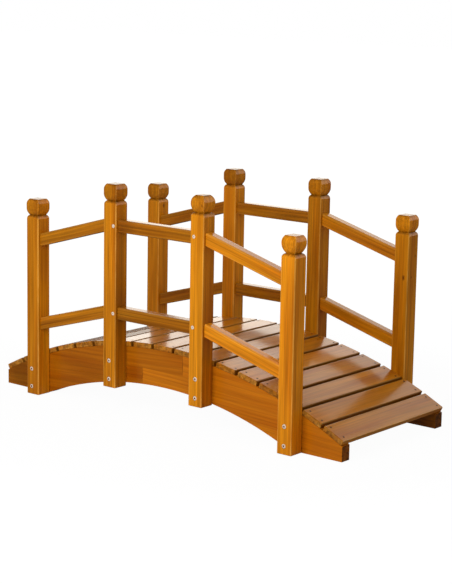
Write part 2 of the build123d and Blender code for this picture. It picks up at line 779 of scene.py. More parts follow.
def rounded_ring(
    half_x: float, half_y: float, radius: float, steps: int = 3, rim: float = 0.0012
) -> list[Triple]:
    """Walk round a rectangle with rounded corners.

    Args:
        half_x: Half its first size.
        half_y: Half its second size.
        radius: The corners' radius.
        steps: The straight steps in each corner.
        rim: How far the edge scuffing and painted highlight reach beyond the corners.

    Returns:
        Points as first place, second place and share of edge scuffing and painted highlight,
        anticlockwise.
    """
    points = []
    corners = ((1, 1, 0), (-1, 1, 1), (-1, -1, 2), (1, -1, 3))
    for sign_x, sign_y, quarter in corners:
        corner = []
        for step in range(steps + 1):
            angle = (quarter + step / steps) * pi / 2
            x = sign_x * (half_x - radius) + radius * cos(angle)
            y = sign_y * (half_y - radius) + radius * sin(angle)
            corner.append((x, y, 0.5 if step in (0, steps) else 1.0))
        start, end = quarter * pi / 2, (quarter + 1) * pi / 2
        before = (corner[0][0] + rim * sin(start), corner[0][1] - rim * cos(start), 0.0)
        after = (corner[-1][0] - rim * sin(end), corner[-1][1] + rim * cos(end), 0.0)
        points += [before, *corner, after]
    return points


def tangent_arc(full: float, end: float, height: float, steps: int) -> Iterator[Pair]:
    """Walk an arc that leaves the full width upright.

    Args:
        full: The half width where the arc starts.
        end: The half width where it ends.
        height: How far the arc rises.
        steps: The number of steps.

    Yields:
        The rise and the half width after each step.
    """
    inset = full - end
    radius = (inset**2 + height**2) / (2 * inset)
    sweep = asin(height / radius)
    for step in range(1, steps + 1):
        angle = sweep * step / steps
        yield radius * sin(angle), full - radius * (1 - cos(angle))


@dataclass
class Fixings:
    """The plan of where bolts, screws and nails go."""

    bolt_offsets: tuple[float, ...] = (-0.005, -0.001, 0.0, -0.001)
    end_heights: Pair = (0.023, 0.076)
    middle_heights: Pair = (0.0975, 0.151)
    screw_places: tuple[Pair, ...] = ((0.0135, 0.0), (-0.0115, 0.004))
    nail_edge: float = 0.0125
    nail_inset: float = 0.0165
    nail_scatter: float = 0.003

    def face(self, side: Side, number: int) -> Vector:
        """Find the middle line of a post's outer face.

        Args:
            side: The post's side.
            number: Its number from the left, from 0.

        Returns:
            The line's point at the height of the ground.
        """
        low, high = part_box(f"post_{side.word}_{number + 1}")
        half = (high.x - low.x) / 2
        return Vector(((low.x + high.x) / 2, (low.y + high.y) / 2 + side.value * half, 0.0))

    def bolts(self, side: Side, number: int) -> list[Site]:
        """List the two bolts low on a post.

        Args:
            side: The post's side.
            number: Its number from the left, from 0.

        Returns:
            The bolts' sites.
        """
        heights = self.end_heights if number in (0, 3) else self.middle_heights
        shift = -side.value * self.bolt_offsets[number]
        face = self.face(side, number)
        facing = Vector((0, side.value, 0))
        return [Site(face + Vector((shift, 0, height)), facing) for height in heights]

    def screws(self, side: Side, number: int) -> list[Site]:
        """List the screws of the middle bay's rails in a middle post.

        Args:
            side: The post's side.
            number: Its number from the left, from 0.

        Returns:
            The screws' sites, or none for an end post.
        """
        if number in (0, 3):
            return []
        inward, lift = self.screw_places[number - 1]
        sites = []
        for level in Level:
            low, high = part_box(f"rail_{side.word}_{level.value}_2")
            place = self.face(side, number) + Vector((inward, 0, (low.z + high.z) / 2 + lift))
            sites.append(Site(place, Vector((0, side.value, 0))))
        return sites

    def nails(self, deck: "Deck") -> list[Site]:
        """List two nails at both ends of every board.

        Args:
            deck: The deck that is nailed down.

        Returns:
            The nails' sites.
        """
        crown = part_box(f"deck_board_{deck.boards // 2 + 1:02d}")[1]
        reach = (deck.pitch - deck.gap) / 2 - self.nail_edge
        draw = random.Random("nails")
        scatter = self.nail_scatter
        sites = []
        for index in range(deck.boards):
            angle = (index - (deck.boards - 1) / 2) * deck.pitch / deck.radius
            normal = Vector((sin(angle), 0, cos(angle)))
            along = Vector((cos(angle), 0, -sin(angle)))
            middle = Vector((0, 0, crown.z - deck.radius)) + normal * deck.radius
            for side in Side:
                for hand in (-1, 1):
                    across = side.value * (crown.y - self.nail_inset) + draw.uniform(-scatter, scatter)
                    shift = along * (hand * (reach + draw.uniform(-scatter, scatter)))
                    sites.append(Site(middle + shift + Vector((0, across, 0)), normal))
        return sites


@dataclass
class Posts:
    """The eight square posts with their shaped heads."""

    fixings: Fixings
    section: float = 0.047
    edge: float = 0.0025
    head_width: float = 0.0475
    head_height: float = 0.0470
    head_edge: float = 0.0009
    shoulder: float = 0.0115
    foot_edge: float = 0.0008
    head_light: float = 1.4
    shoulder_steps: int = 6
    low_steps: int = 9
    high_steps: int = 7
    grain_lean: float = 0.4
    bolt_bore: Bore = Bore(0.0068, 0.0027)
    screw_bore: Bore = Bore(0.0056, 0.0014)
    near_heads: tuple[Head, ...] = (Head.BLUNT, Head.BLUNT, Head.TAPERED, Head.ROUND)
    # Here and in far_tones, each post's tones are body, faces that look along X, and head; the middle
    # ones, all above 1, are partly the faces' own tone and partly painted light on the posts' sides.
    near_tones: tuple[Triple, ...] = (
        (0.88, 1.26, 1.08),
        (0.95, 1.15, 0.90),
        (1.02, 1.05, 1.0),
        (1.18, 1.12, 1.05),
    )
    far_tones: tuple[Triple, ...] = (
        (0.90, 1.3, 0.95),
        (1.05, 1.1, 0.75),
        (0.74, 1.25, 1.3),
        (0.88, 1.1, 1.3),
    )

    def levels(self, foot: float, top: float, cut: HeadCut) -> list[Triple]:
        """List the post's rings from the ground up.

        Args:
            foot: The height of the post's foot.
            top: The height of its top.
            cut: The cut of its head.

        Returns:
            Each ring's height, half width and corner radius.
        """
        half = self.section / 2
        neck = top - self.head_height
        shoulder = neck - self.shoulder
        full = self.head_width / 2
        levels = [(foot, half - self.foot_edge, self.edge), (foot + self.foot_edge, half, self.edge)]
        levels.append((shoulder, half, self.edge))
        for rise, width in tangent_arc(half, cut.neck / 2, self.shoulder, self.shoulder_steps):
            share = rise / self.shoulder
            levels.append((shoulder + rise, width, self.edge + (self.head_edge - self.edge) * share))
        low = self.head_height * cut.full_from
        belly = list(tangent_arc(full, cut.neck / 2, low, self.low_steps))[:-1]
        levels += [(neck + low - fall, width, self.head_edge) for fall, width in reversed(belly)]
        levels.append((neck + low, full, self.head_edge))
        high = self.head_height * cut.full_to
        levels.append((neck + high, full, self.head_edge))
        for rise, width in tangent_arc(full, cut.top / 2, self.head_height - high, self.high_steps):
            levels.append((neck + high + rise, width, self.head_edge))
        return levels

    def post(self, side: Side, number: int, wood: Material) -> None:
        """Make one post where its node stands.

        Args:
            side: The side it is on.
            number: Its number from the left, from 0.
            wood: Its finish.
        """
        name = f"post_{side.word}_{number + 1}"
        low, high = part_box(name)
        middle = (low + high) / 2
        head = self.near_heads[number] if side is Side.NEAR else Head.BLUNT
        tones = (self.near_tones if side is Side.NEAR else self.far_tones)[number]
        draw = random.Random(name)
        lean = draw.uniform(-self.grain_lean, self.grain_lean)
        grain = Grain.sawn(middle, Vector((0, 0, 1)), Vector((1, lean, 0)), draw)
        neck = high.z - self.head_height
        stick = Stick(grain, Tone(*tones, high_right=tones[2] * self.head_light, neck=neck))
        rings = []
        for height, half, radius in self.levels(low.z, high.z, head.value):
            ring = []
            for x, y, worn in rounded_ring(half, half, radius):
                point = Vector((middle.x + x, middle.y + y, height))
                ring.append((point, self.wear(side, y, worn)))
            rings.append(ring)
        stick.loft(rings)
        recesses = [(self.bolt_bore, site) for site in self.fixings.bolts(side, number)]
        recesses += [(self.screw_bore, site) for site in self.fixings.screws(side, number)]
        piece = stick.finish(f"timber_{name}", wood, recesses)
        hand_over(piece, "post_wood", name)

    def wear(self, side: Side, across: float, worn: float) -> float:
        """Keep the edge scuffing and painted highlight of a near post off the corners that lie against
        its beam.
        """
        return worn if side is Side.FAR or across < 0 else 0.0

    def build(self, wood: Material) -> None:
        """Make all the posts.

        Args:
            wood: Their finish.
        """
        for side in Side:
            for number in range(4):
                self.post(side, number, wood)


@dataclass
class Rails:
    """The two rails in each of the three bays of a side."""

    height: float = 0.036
    thickness: float = 0.032
    edge: float = 0.0045
    end_edge: float = 0.0012
    wear: float = 0.4
    grain_lean: float = 0.3
    near_tones: tuple[Pair, ...] = ((0.74, 0.76), (0.64, 0.60), (1.05, 1.24))
    far_tones: tuple[Pair, ...] = ((0.60, 0.60), (0.62, 0.62), (0.95, 0.92))

    def rail(self, side: Side, level: Level, bay: int, wood: Material) -> None:
        """Make one rail where its node lies.

        Args:
            side: The side it is on.
            level: The upper or the lower rail.
            bay: Its bay from the left, from 0.
            wood: Its finish.
        """
        name = f"rail_{side.word}_{level.value}_{bay + 1}"
        low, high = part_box(name)
        middle = (low + high) / 2
        run = high.x - low.x
        slope = atan2(self.climb(run, high.z - low.z) * (1 - bay), run)
        draw = random.Random(name)
        along = Vector((cos(slope), 0, sin(slope)))
        lean = draw.uniform(-self.grain_lean, self.grain_lean)
        grain = Grain.sawn(middle, along, Vector((0, 1, lean)), draw)
        tones = (self.near_tones if side is Side.NEAR else self.far_tones)[bay]
        stick = Stick(grain, Tone(tones[level is Level.LOWER]))
        places = ((low.x, 1), (low.x + self.end_edge, 0), (high.x - self.end_edge, 0), (high.x, 1))
        stick.loft([self.section(x, middle, slope, inset * self.end_edge) for x, inset in places])
        hand_over(stick.finish(f"timber_{name}", wood), "rail_wood", name)

    def climb(self, run: float, rise: float) -> float:
        """Find how far a rail's middle line climbs.

        Args:
            run: The length of the rail's box.
            rise: The height of its box.

        Returns:
            The climb from the lower end to the upper one.
        """
        climb = rise - self.height
        for _ in range(8):
            climb = rise - self.height / cos(atan2(climb, run))
        return climb

    def section(
        self, x: float, middle: Vector, slope: float, inset: float
    ) -> list[tuple[Vector, float]]:
        """Cut the rail upright at one place along it.

        Args:
            x: The place.
            middle: The rail's middle.
            slope: Its angle.
            inset: How far the section is drawn in.

        Returns:
            The section's points, each with its share of edge scuffing and painted highlight.
        """
        z = middle.z + (x - middle.x) * tan(slope)
        half_width, half_height = self.thickness / 2 - inset, self.height / 2 - inset
        ring = []
        for across, up, worn in rounded_ring(half_width, half_height, self.edge - inset, 4):
            ring.append((Vector((x, middle.y + across, z + up / cos(slope))), worn * self.wear))
        return ring

    def build(self, wood: Material) -> None:
        """Make all the rails.

        Args:
            wood: Their finish.
        """
        for side in Side:
            for level in Level:
                for bay in range(3):
                    self.rail(side, level, bay, wood)


@dataclass
class Deck:
    """The crosswise boards, which follow the arc of the deck."""

    boards: int = 17
    radius: float = 1.351
    pitch: float = 0.0772
    gap: float = 0.0088
    thickness: float = 0.015
    top_edge: float = 0.0024
    end_edge: float = 0.0012
    side_tone: float = 0.46
    side_turn: float = 0.18
    wear: float = 0.7
    slip: float = 0.0006
    skew: float = 0.0010
    log_from: Triple = (1.0, -0.07, 0.02)
    log_to: Triple = (60.0, 0.07, 0.09)
    tones: Pair = (0.78, 1.15)
    seed: int = 11

    def board(self, length: float, wood: Material) -> Object:
        """Make one board at the origin, with its top face at height zero.

        Args:
            length: The board's length, across the bridge.
            wood: Its finish.

        Returns:
            The board, as a pattern for the others.
        """
        grain = Grain(Vector(), Vector((0, 1, 0)), Vector((0, 0, 1)), Vector())
        # The boards' sides that look along X are darkened as painted shade in the gaps between boards,
        # and the varnish coat mostly fades out there.
        stick = Stick(grain, Tone(1.0, self.side_tone, turn=self.side_turn))
        half_width, depth = (self.pitch - self.gap) / 2, self.thickness / 2
        half = length / 2
        rings = []
        for y, inset in ((-half, 1), (-half + self.end_edge, 0), (half - self.end_edge, 0), (half, 1)):
            inset *= self.end_edge
            points = rounded_ring(half_width - inset, depth - inset, self.top_edge - inset)
            rings.append([(Vector((x, y, z - depth)), worn * self.wear) for x, z, worn in points])
        stick.loft(rings)
        return stick.finish("board_pattern", wood)

    def tree(self) -> NodeTree:
        """Build the node tree that lays the boards along the arc.

        Returns:
            The tree.
        """
        tree = bpy.data.node_groups.new("lay_deck_boards", "GeometryNodeTree")
        sheet = NodeSheet(tree)
        kinds = {
            "Board": "Object",
            "Boards": "Int",
            "Pitch": "Float",
            "Radius": "Float",
            "Crown": "Float",
            "Slip": "Float",
            "Skew": "Float",
            "Finish": "Material",
            "Seed": "Int",
        }
        given = open_tree(sheet, kinds)
        index = sheet.add("GeometryNodeInputIndex").outputs[0]
        middle = sheet.maths("DIVIDE", sheet.maths("SUBTRACT", given["Boards"], 1.0), 2.0)
        step = sheet.maths("DIVIDE", given["Pitch"], given["Radius"])
        angle = sheet.maths("MULTIPLY", sheet.maths("SUBTRACT", index, middle), step)
        x = sheet.maths("MULTIPLY", given["Radius"], sheet.maths("SINE", angle))
        drop = sheet.maths("SUBTRACT", sheet.maths("COSINE", angle), 1.0)
        drop = sheet.maths("MULTIPLY", given["Radius"], drop)
        z = sheet.maths("ADD", given["Crown"], drop)
        loose = []
        for lot, limit in enumerate(("Slip", "Skew"), 1):
            share = random_value(sheet, "FLOAT", (-1.0, 1.0), given["Seed"], lot)
            loose.append(sheet.maths("MULTIPLY", share, given[limit]))
        slip, skew = loose
        place = sheet.add("ShaderNodeCombineXYZ", {"X": x, "Y": slip, "Z": z}).outputs[0]
        turn = sheet.add("ShaderNodeCombineXYZ", {"Y": angle, "Z": skew}).outputs[0]
        points = sheet.add("GeometryNodePoints", {"Count": given["Boards"], "Position": place})
        shape = sheet.add("GeometryNodeObjectInfo", {"Object": given["Board"]})
        placed = {"Points": points.outputs[0], "Instance": shape.outputs["Geometry"], "Rotation": turn}
        laid = sheet.add("GeometryNodeInstanceOnPoints", placed).outputs[0]
        shift = random_value(sheet, "FLOAT_VECTOR", (self.log_from, self.log_to), given["Seed"], 3)
        laid = store(sheet, laid, "log_shift", "FLOAT_VECTOR", shift, "INSTANCE")
        tone = random_value(sheet, "FLOAT", self.tones, given["Seed"], 4)
        laid = store(sheet, laid, "board_tone", "FLOAT", tone, "INSTANCE")
        last = sheet.maths("GREATER_THAN", index, sheet.maths("SUBTRACT", given["Boards"], 1.5))
        laid = store(sheet, laid, "last_board", "FLOAT", last, "INSTANCE")
        real = sheet.add("GeometryNodeRealizeInstances", {0: laid}).outputs[0]
        grain, shift = (named(sheet, name, "FLOAT_VECTOR") for name in ("grain", "log_shift"))
        moved = sheet.vector("ADD", grain, shift)
        real = store(sheet, real, "grain", "FLOAT_VECTOR", moved, "POINT")
        # The last board's right side is open to view, so its sides keep the full tone without the
        # painted gap shade.
        tone, last, own = (named(sheet, name, "FLOAT") for name in ("tone", "last_board", "board_tone"))
        tone = sheet.maths("MULTIPLY", sheet.maths("MAXIMUM", tone, last), own)
        real = store(sheet, real, "tone", "FLOAT", tone, "FACE")
        close_tree(sheet, real, given["Finish"])
        return tree

    def build(self, wood: Material) -> None:
        """Lay the whole deck and hand it over as one piece.

        Args:
            wood: The boards' finish.
        """
        names = [f"deck_board_{number + 1:02d}" for number in range(self.boards)]
        low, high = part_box(names[self.boards // 2])
        pattern = self.board(high.y - low.y, wood)
        values = {
            "Board": pattern,
            "Boards": self.boards,
            "Pitch": self.pitch,
            "Radius": self.radius,
            "Crown": high.z,
            "Slip": self.slip,
            "Skew": self.skew,
            "Finish": wood,
            "Seed": self.seed,
        }
        data = grow("deck_boards", self.tree(), values)
        bpy.data.objects.remove(pattern)
        hand_over(place_object("timber_deck_boards", data), "board_wood", *names)


def open_tree(sheet: NodeSheet, kinds: dict[str, str]) -> dict[str, NodeSocket]:
    """Declare a geometry tree's sockets.

    Args:
        sheet: The tree's nodes.
        kinds: The kind of each named input.

    Returns:
        The output sockets of the group's input node, by name.
    """
    face = sheet.tree.interface
    face.new_socket("Geometry", in_out="INPUT", socket_type="NodeSocketGeometry")
    for name, kind in kinds.items():
        face.new_socket(name, in_out="INPUT", socket_type=f"NodeSocket{kind}")
    face.new_socket("Geometry", in_out="OUTPUT", socket_type="NodeSocketGeometry")
    given = sheet.add("NodeGroupInput")
    return {socket.name: socket for socket in given.outputs if socket.name}


def close_tree(sheet: NodeSheet, real: NodeSocket, finish: NodeSocket) -> None:
    """End a geometry tree on realized geometry in its finish."""
    dressed = sheet.add("GeometryNodeSetMaterial", {"Geometry": real, "Material": finish})
    sheet.add("NodeGroupOutput", {0: dressed.outputs[0]})


def random_value(
    sheet: NodeSheet, kind: str, ends: tuple[object, object], seed: object, lot: int
) -> NodeSocket:
    """Draw one random value for each point.

    Args:
        sheet: The tree's nodes.
        kind: FLOAT or FLOAT_VECTOR.
        ends: The lowest and the highest value.
        seed: The tree's seed socket.
        lot: A number that keeps this draw apart from others.

    Returns:
        The value's socket.
    """
    first, out = (0, 0) if kind == "FLOAT_VECTOR" else (2, 1)
    inputs = {"Seed": sheet.maths("ADD", seed, lot * LOT_STEP), first: ends[0], first + 1: ends[1]}
    return sheet.add("FunctionNodeRandomValue", inputs, data_type=kind).outputs[out]


def named(sheet: NodeSheet, name: str, kind: str) -> NodeSocket:
    """Read a named attribute, and return its socket."""
    return sheet.add("GeometryNodeInputNamedAttribute", {"Name": name}, data_type=kind).outputs[0]


def store(
    sheet: NodeSheet, geometry: object, name: str, kind: str, value: NodeSocket, domain: str
) -> NodeSocket:
    """Write a named attribute onto geometry.

    Args:
        sheet: The tree's nodes.
        geometry: The geometry's socket.
        name: The attribute's name.
        kind: FLOAT or FLOAT_VECTOR.
        value: The value's socket.
        domain: What carries the attribute.

    Returns:
        The new geometry's socket.
    """
    inputs = {"Geometry": geometry, "Name": name, "Value": value}
    settings = {"data_type": kind, "domain": domain}
    return sheet.add("GeometryNodeStoreNamedAttribute", inputs, **settings).outputs[0]


def grow(
    name: str, tree: NodeTree, values: dict[str, object], base: Mesh | None = None
) -> Mesh:
    """Run a geometry tree once and keep what it makes as a plain mesh.

    Args:
        name: The new mesh's name.
        tree: The geometry tree.
        values: The tree's inputs, by name.
        base: The mesh that the tree starts from, if it needs one.

    Returns:
        The plain mesh.
    """
    grower = bpy.data.objects.new(name, base or bpy.data.meshes.new(name))
    bpy.context.collection.objects.link(grower)
    modifier = grower.modifiers.new("grow", "NODES")
    modifier.node_group = tree
    sockets = tree.interface.items_tree
    keys = {item.name: item.identifier for item in sockets if item.in_out == "INPUT"}
    for key, value in values.items():
        modifier[keys[key]] = value
    graph = bpy.context.evaluated_depsgraph_get()
    data = bpy.data.meshes.new_from_object(grower.evaluated_get(graph))
    data.name = name
    bpy.data.objects.remove(grower)
    return data


@dataclass
class SideBeams:
    """The two bow-shaped beams, each of two planks that lap over each other in the middle."""

    deck: Deck
    arch_radius: float = 1.144
    arch_crown: float = 0.092
    lap_reach: float = 0.0750
    lap_height: float = 0.1365
    lap_clear: float = 0.001
    edge: float = 0.0014
    arc_steps: int = 28
    plank_lean: float = 0.05
    grain_lean: float = 0.5
    tone: float = 0.90
    tone_step: float = 0.09

    def seat(self, index: int, crown: float) -> Pair:
        """Find where the seats of two neighbouring boards meet.

        Args:
            index: The number of boards to the left of the place.
            crown: The height of the beam's top in the middle.

        Returns:
            The place, as X and Z.
        """
        step = self.deck.pitch / self.deck.radius
        angle = (index - self.deck.boards / 2) * step
        reach = (self.deck.radius - self.deck.thickness) / cos(step / 2)
        return reach * sin(angle), crown + self.deck.thickness - self.deck.radius + reach * cos(angle)

    def underside(self, x: float) -> float:
        """Give the height of the beam's underside at a place along it."""
        rise = sqrt(max(self.arch_radius**2 - x**2, 0.0)) + self.arch_crown - self.arch_radius
        return max(rise, 0.0)

    def top(self, x: float, seats: Sequence[Pair]) -> float:
        """Find the height of the beam's top.

        Args:
            x: The place along the beam.
            seats: The points where seats meet, from left to right.

        Returns:
            The height.
        """
        for (x_1, z_1), (x_2, z_2) in zip(seats, seats[1:]):
            if x_1 <= x <= x_2:
                return z_1 + (z_2 - z_1) * (x - x_1) / (x_2 - x_1)
        return seats[-1][1]

    def right_plank(self, crown: float, flip: int) -> list[Pair]:
        """Outline the plank of the right half of the beam.

        Args:
            crown: The height of the beam's top in the middle.
            flip: 1 if the plank is the lower one of the lap, -1 if it is the upper one.

        Returns:
            The outline's points, as X and Z.
        """
        seats = [self.seat(index, crown) for index in range(self.deck.boards + 1)]
        tip_low, tip_high = -flip * self.lap_reach, flip * self.lap_reach
        foot = sqrt(self.arch_radius**2 - (self.arch_radius - self.arch_crown) ** 2)
        reach = tip_low - foot
        under = [foot + reach * step / self.arc_steps for step in range(self.arc_steps + 1)]
        outline = [(seats[-1][0], 0.0)]
        outline += [(x, self.underside(x)) for x in under]
        outline += [(tip_low, self.lap_height), (tip_high, self.lap_height)]
        outline.append((tip_high, self.top(tip_high, seats)))
        outline += [(x, z) for x, z in seats if x > tip_high + self.lap_clear]
        return outline

    def build(self, wood: Material) -> None:
        """Make both beams, each as one piece of two planks.

        Args:
            wood: Their finish.
        """
        for side in Side:
            name = f"side_beam_{side.word}"
            low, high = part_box(name)
            planks = []
            for hand in (1, -1):
                flip = hand if side is Side.NEAR else -hand
                outline = [(hand * x, z) for x, z in self.right_plank(high.z, flip)]
                draw = random.Random(f"{name}{hand}")
                along = Vector((1, 0, -hand * self.plank_lean))
                centre = Vector((hand * high.x / 2, (low.y + high.y) / 2, high.z / 2))
                lean = draw.uniform(-self.grain_lean, self.grain_lean)
                grain = Grain.sawn(centre, along, Vector((0, 1, lean)), draw)
                stick = Stick(grain, Tone(self.tone + self.tone_step * hand))
                stick.slab(outline, centre.y, high.y - low.y, self.edge)
                planks.append(stick.finish(f"timber_{name}_{hand}", wood))
            hand_over(joined(planks, f"timber_{name}"), "beam_wood", name)


def joined(parts: Sequence[Object], name: str) -> Object:
    """Join objects into one.

    Args:
        parts: The objects, which are used up.
        name: The new object's name.

    Returns:
        The new object.
    """
    mesh = bmesh.new()
    for part in parts:
        mesh.from_mesh(part.data)
    data = bpy.data.meshes.new(name)
    mesh.to_mesh(data)
    mesh.free()
    data.materials.append(parts[0].data.materials[0])
    for part in parts:
        bpy.data.objects.remove(part)
    return place_object(name, data)


@dataclass(frozen=True)
class Turned:
    """A small head turned about its axis, with a socket pressed into it.

    Attributes:
        outline: The head's half section, as radius and height.
        socket: Half the width of the socket across its flats, or zero for none.
        depth: The socket's depth.
        facets: The number of sides that make it round.
        inner_reach: How far the socket's painted shade reaches, in shares of its half width.
    """

    outline: tuple[Pair, ...]
    socket: float = 0.0
    depth: float = 0.0
    facets: int = 24
    inner_reach: float = 1.1

    def spoke(self, angle: float) -> float:
        """Give the distance from the axis to the socket's side at an angle."""
        return self.socket / cos((angle + pi / 6) % (pi / 3) - pi / 6)

    def rings(self) -> Iterator[list[Vector]]:
        """Walk the head from its seat to the bottom of its socket.

        Yields:
            The points of each ring.
        """
        angles = [2 * pi * index / self.facets for index in range(self.facets)]
        for radius, height in self.outline:
            yield [Vector((radius * cos(a), radius * sin(a), height)) for a in angles]
        if self.socket:
            top = self.outline[-1][1]
            spokes = [(self.spoke(a) * cos(a), self.spoke(a) * sin(a)) for a in angles]
            for height in (top, top - self.depth):
                yield [Vector((x, y, height)) for x, y in spokes]

    def pattern(self, name: str) -> Object:
        """Make the head once at the origin, pointing up.

        Args:
            name: The pattern's name.

        Returns:
            The head, as a pattern for the others.
        """
        mesh = bmesh.new()
        skin(mesh, [[mesh.verts.new(point) for point in ring] for ring in self.rings()])
        data = bpy.data.meshes.new(name)
        mesh.to_mesh(data)
        mesh.free()
        data.shade_smooth()
        # Faces in and just round the socket get the painted socket shade.
        inner = data.attributes.new("inner", "FLOAT", "FACE").data
        for face in data.polygons:
            corners = [data.vertices[index].co for index in face.vertices]
            middle = sum(corners, Vector()) / len(corners)
            inner[face.index].value = float(middle.xy.length < self.socket * self.inner_reach)
        return bpy.data.objects.new(name, data)


@dataclass
class Fastenings:
    """The bolts, screws and nails that hold the timber together."""

    fixings: Fixings
    posts: Posts
    deck: Deck
    bolt: Turned = Turned(
        (
            (0.0060, 0.0),
            (0.0064, 0.0006),
            (0.0062, 0.0014),
            (0.0056, 0.0021),
            (0.0047, 0.0024),
            (0.0034, 0.0025),
        ),
        socket=0.0026,
        depth=0.0019,
    )
    screw: Turned = Turned(
        ((0.0048, 0.0), (0.0052, 0.0004), (0.0049, 0.0010), (0.0030, 0.0013)),
        socket=0.0012,
        depth=0.0008,
    )
    nail: Turned = Turned(((0.0029, -0.0002), (0.0029, 0.00012), (0.0023, 0.00022)))
    seed: int = 5

    def tree(self) -> NodeTree:
        """Build the node tree that sets a head on every point, square to its surface.

        Returns:
            The tree.
        """
        tree = bpy.data.node_groups.new("set_fastenings", "GeometryNodeTree")
        sheet = NodeSheet(tree)
        kinds = {"Head": "Object", "Sink": "Float", "Finish": "Material", "Seed": "Int"}
        given = open_tree(sheet, kinds)
        facing = named(sheet, "facing", "FLOAT_VECTOR")
        points = sheet.add("GeometryNodeMeshToPoints", {0: given["Geometry"]}).outputs[0]
        sunk = {0: facing, "Scale": sheet.maths("MULTIPLY", given["Sink"], -1.0)}
        offset = sheet.add("ShaderNodeVectorMath", sunk, operation="SCALE").outputs[0]
        points = sheet.add("GeometryNodeSetPosition", {0: points, "Offset": offset}).outputs[0]
        aligned = {"Vector": facing}
        aligned = sheet.add("FunctionNodeAlignRotationToVector", aligned, axis="Z").outputs[0]
        spin = random_value(sheet, "FLOAT", (0.0, 2 * pi), given["Seed"], 2)
        turned = sheet.add("ShaderNodeCombineXYZ", {"Z": spin}).outputs[0]
        turned = sheet.add("FunctionNodeEulerToRotation", {0: turned}).outputs[0]
        spun = {0: aligned, 1: turned}
        rotation = sheet.add("FunctionNodeRotateRotation", spun, rotation_space="LOCAL").outputs[0]
        shape = sheet.add("GeometryNodeObjectInfo", {"Object": given["Head"]}).outputs["Geometry"]
        placed = {"Points": points, "Instance": shape, "Rotation": rotation}
        placed = sheet.add("GeometryNodeInstanceOnPoints", placed).outputs[0]
        real = sheet.add("GeometryNodeRealizeInstances", {0: placed}).outputs[0]
        close_tree(sheet, real, given["Finish"])
        return tree

    def fix(
        self, name: str, head: Turned, sites: Sequence[Site], metal: Material, sink: float = 0.0
    ) -> None:
        """Set one kind of fastening on all its sites.

        Args:
            name: The new piece's name.
            head: The shape of one head.
            sites: Where the fastenings are.
            metal: The heads' finish.
            sink: How far below its site a head is seated.
        """
        base = bpy.data.meshes.new(f"{name}_sites")
        base.from_pydata([site.place for site in sites], [], [])
        facing = base.attributes.new("facing", "FLOAT_VECTOR", "POINT")
        for index, site in enumerate(sites):
            facing.data[index].vector = site.facing
        pattern = head.pattern(f"{name}_pattern")
        values = {"Head": pattern, "Sink": sink, "Finish": metal, "Seed": self.seed}
        data = grow(name, self.tree(), values, base)
        bpy.data.objects.remove(pattern)
        hand_over(place_object(name, data), None)

    def build(self, plated: Material, dark: Material) -> None:
        """Set all the fastenings.

        Args:
            plated: The finish of bolts and screws.
            dark: The finish of nails, near black as painted shade of their countersunk holes.
        """
        places = [(side, number) for side in Side for number in range(4)]
        bolts = [site for place in places for site in self.fixings.bolts(*place)]
        screws = [site for place in places for site in self.fixings.screws(*place)]
        self.fix("post_bolts", self.bolt, bolts, plated, self.posts.bolt_bore.depth)
        self.fix("rail_screws", self.screw, screws, plated, self.posts.screw_bore.depth)
        self.fix("deck_nails", self.nail, self.fixings.nails(self.deck), dark)


@dataclass(frozen=True)
class PhotoCamera:
    """The camera that took the photograph, found from the places of the bridge's corners in it."""

    place: Triple = (3.0811, -3.6949, 1.2559)
    heading: float = 38.471
    dip: float = 10.038
    roll: float = 1.181
    focal_px: float = 1696.92
    centre_px: Pair = (258.0, 268.0)
    image_px: Pair = (452.0, 584.0)
    sensor: float = 36.0

    def build(self) -> None:
        """Set the camera up with the lens and the small shift that the framing needs."""
        heading, dip, roll = (radians(angle) for angle in (self.heading, self.dip, self.roll))
        ahead = Vector((-sin(heading) * cos(dip), cos(heading) * cos(dip), -sin(dip)))
        level = Vector((cos(heading), sin(heading), 0))
        upright = level.cross(ahead)
        right = cos(roll) * level + sin(roll) * upright
        up = cos(roll) * upright - sin(roll) * level
        data = bpy.data.cameras.new("camera")
        data.sensor_width = self.sensor
        width, height = self.image_px
        data.lens = self.focal_px * self.sensor / height
        data.shift_x = (width / 2 - self.centre_px[0]) / height
        data.shift_y = (self.centre_px[1] - height / 2) / height
        camera = bpy.data.objects.new("camera", data)
        bpy.context.collection.objects.link(camera)
        turn = Matrix((right, up, -ahead)).transposed().to_4x4()
        camera.matrix_world = Matrix.Translation(self.place) @ turn
        bpy.context.scene.camera = camera


